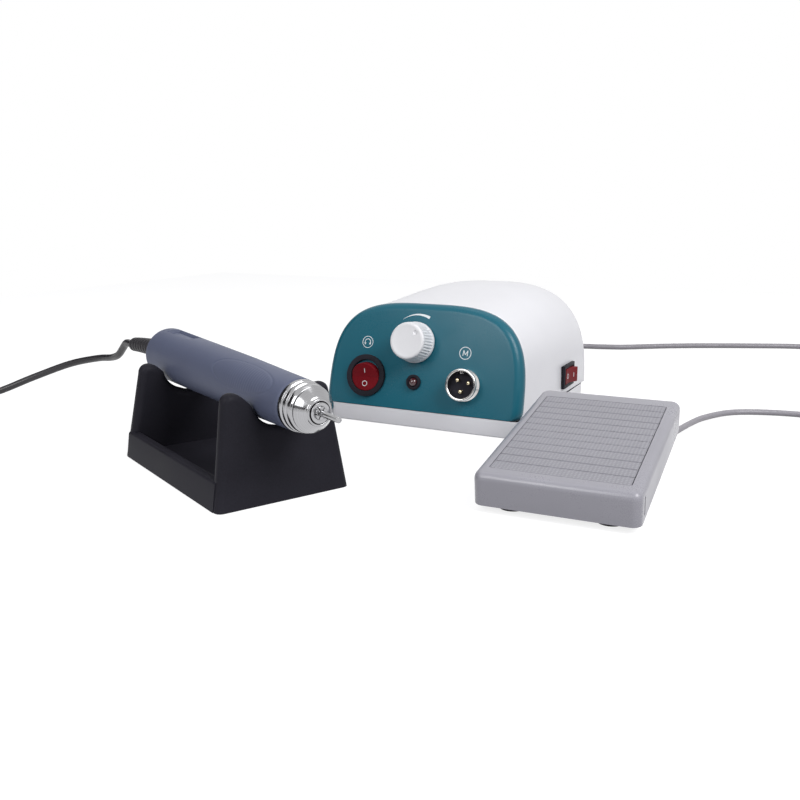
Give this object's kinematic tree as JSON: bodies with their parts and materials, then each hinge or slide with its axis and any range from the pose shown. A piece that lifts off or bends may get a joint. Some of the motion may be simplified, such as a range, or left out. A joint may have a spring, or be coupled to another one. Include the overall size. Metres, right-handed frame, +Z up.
{
  "type": "dental micromotor set",
  "caption": "Bench micromotor: arched control unit with speed knob and rocker switches, motor handpiece on a black rest, spring foot pedal and cords.",
  "frame": {"origin": "middle of the control unit's underside, on the table", "axes": "+X to the right along the unit's front, +Y towards its back, +Z up"},
  "size_m": [0.6455, 0.6233, 0.0706],
  "materials": {
    "shell_white": "satin moulded white",
    "panel_teal": "satin teal",
    "knob_white": "satin",
    "black_plastic": "fine grain",
    "red_rocker": "clear red",
    "lamp_red": "clear dark red",
    "chrome": "polished",
    "brass": "plain",
    "steel": "turned and polished",
    "iron": "lacquered",
    "copper": "enamelled wire",
    "board": "resist",
    "grip_blue": "soft matt slate",
    "black_rubber": "matt",
    "grey_cable": "satin",
    "pedal_grey": "satin",
    "mat_grey": "dotted and grooved",
    "pedal_dark": "plain"
  },
  "bodies": {
    "table_set": {"unit_base": "shell_white", "unit_cover": "shell_white", "rear_panel": "shell_white", "front_panel": "panel_teal", "direction_switch": "black_plastic", "power_switch": "black_plastic", "lamp_bezel": "black_plastic", "socket_insert": "black_plastic", "stand": "black_plastic", "pedal_jack": "black_plastic", "fuse_holder": "black_plastic", "pedal_switch": "black_plastic", "lamp_lens": "lamp_red", "socket_shell": "chrome", "socket_nut": "chrome", "hand_plug": "chrome", "socket_pins": "brass", "mains_pins": "brass", "hinge_pin": "steel", "return_spring": "steel", "potentiometer": "steel", "transformer_core": "iron", "transformer_coil": "copper", "circuit_board": "board", "board_parts": "board", "hand_cord": "black_rubber", "hand_coil": "black_rubber", "unit_pads": "black_rubber", "pedal_feet": "black_rubber", "mains_cord": "grey_cable", "mains_coil": "grey_cable", "mains_plug": "grey_cable", "mains_gland": "grey_cable", "pedal_cord": "grey_cable", "pedal_coil": "grey_cable", "pedal_base": "pedal_dark", "pedal_plug": "pedal_dark"},
    "speed_control": {"speed_knob": "knob_white", "pot_shaft": "steel"},
    "direction_rocker": {"direction_rocker": "red_rocker"},
    "power_rocker": {"power_rocker": "red_rocker"},
    "fuse_cap": {"fuse_cap": "black_plastic"},
    "handpiece": {"grip_sleeve": "grip_blue", "motor_housing": "steel", "rear_cap": "black_plastic", "cable_boot": "black_rubber", "magnets": "iron", "brush_holders": "brass", "front_bearing": "steel", "rear_bearing": "steel", "nose_cone": "steel"},
    "chuck_ring": {"chuck_ring": "steel"},
    "spindle": {"spindle": "steel", "rotor": "iron", "collet": "steel", "bur": "steel"},
    "plug_nut": {"plug_nut": "chrome"},
    "treadle": {"treadle": "pedal_grey", "tread_mat": "mat_grey"},
    "switch_plunger": {"switch_plunger": "red_rocker"}
  },
  "joints": [
    {"name": "speed_turn", "type": "hinge", "parent": "table_set", "child": "speed_control", "pos_m": [-0.0056, -0.0534, 0.04643], "axis": [0, -0.9744, 0.225], "range_deg": [-105, 195]},
    {"name": "direction_rock", "type": "hinge", "parent": "table_set", "child": "direction_rocker", "pos_m": [-0.0347, -0.0561, 0.02581], "axis": [1, 0, 0], "range_deg": [-24, 0]},
    {"name": "power_rock", "type": "hinge", "parent": "table_set", "child": "power_rocker", "pos_m": [0.0584, 0.0218, 0.0207], "axis": [0, 0, 1], "range_deg": [0, 24]},
    {"name": "fuse_turn", "type": "hinge", "parent": "table_set", "child": "fuse_cap", "pos_m": [-0.034, 0.0619, 0.022], "axis": [0, 1, 0], "range_deg": [0, 90]},
    {"name": "handpiece_lift", "type": "slide", "parent": "table_set", "child": "handpiece", "axis": [0, 0, 1], "range_m": [0, 0.06]},
    {"name": "chuck_twist", "type": "hinge", "parent": "handpiece", "child": "chuck_ring", "pos_m": [0.01583, -0.20212, 0.04356], "axis": [0.8885, -0.4586, -0.0175], "range_deg": [0, 60]},
    {"name": "spindle_spin", "type": "hinge", "parent": "handpiece", "child": "spindle", "pos_m": [-0.03748, -0.17461, 0.0446], "axis": [0.8885, -0.4586, -0.0175], "continuous": true},
    {"name": "plug_nut_turn", "type": "hinge", "parent": "table_set", "child": "plug_nut", "pos_m": [-0.29585, -0.20964, 0.0102], "axis": [0.9883, -0.1527, 0], "continuous": true},
    {"name": "treadle_press", "type": "hinge", "parent": "table_set", "child": "treadle", "pos_m": [0.10884, -0.16458, 0.0095], "axis": [0.9996, 0.0297, 0], "range_deg": [-7, 0], "stiffness_Nm_per_rad": 3, "springref_deg": 5.73, "deforming": ["return_spring"]},
    {"name": "plunger_slide", "type": "slide", "parent": "table_set", "child": "switch_plunger", "axis": [0, 0, 1], "range_m": [-0.003, 0]}
  ],
  "couplings": [
    {"joint": "plunger_slide", "follows": "treadle_press", "m_per_rad": 0.0232}
  ]
}
